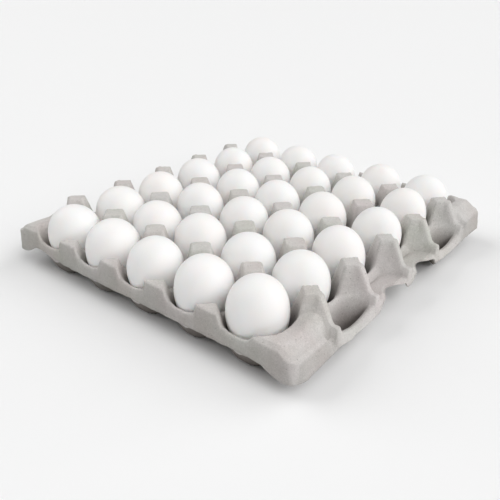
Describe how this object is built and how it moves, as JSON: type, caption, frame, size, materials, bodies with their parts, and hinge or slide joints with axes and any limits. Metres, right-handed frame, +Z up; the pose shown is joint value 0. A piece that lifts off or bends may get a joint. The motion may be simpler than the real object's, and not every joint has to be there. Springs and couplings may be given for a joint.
{
  "type": "egg tray with eggs",
  "caption": "Open moulded-pulp egg tray with square posts between its cups and finger notches in its ends, filled with white hen's eggs that stand on their pointed ends.",
  "frame": {"origin": "under the middle of the tray, on the surface that its feet stand on", "axes": "+Z up; +X along the rows of cups, towards a side with finger notches; +Y from row A to row F, across the rows"},
  "size_m": [0.2954, 0.2904, 0.0602],
  "materials": {
    "pulp": "matt grey moulded pulp, fibrous",
    "eggshell": "matt white eggshell, finely pitted"
  },
  "bodies": {
    "root": {"tray": "pulp", "egg_a1": "eggshell", "egg_a2": "eggshell", "egg_a3": "eggshell", "egg_a4": "eggshell", "egg_a5": "eggshell", "egg_b1": "eggshell", "egg_b2": "eggshell", "egg_b3": "eggshell", "egg_b4": "eggshell", "egg_b5": "eggshell", "egg_c1": "eggshell", "egg_c2": "eggshell", "egg_c3": "eggshell", "egg_c4": "eggshell", "egg_c5": "eggshell", "egg_d1": "eggshell", "egg_d2": "eggshell", "egg_d3": "eggshell", "egg_d4": "eggshell", "egg_d5": "eggshell", "egg_e1": "eggshell", "egg_e2": "eggshell", "egg_e3": "eggshell", "egg_e4": "eggshell", "egg_e5": "eggshell", "egg_f1": "eggshell", "egg_f2": "eggshell", "egg_f3": "eggshell", "egg_f4": "eggshell", "egg_f5": "eggshell"}
  },
  "joints": []
}
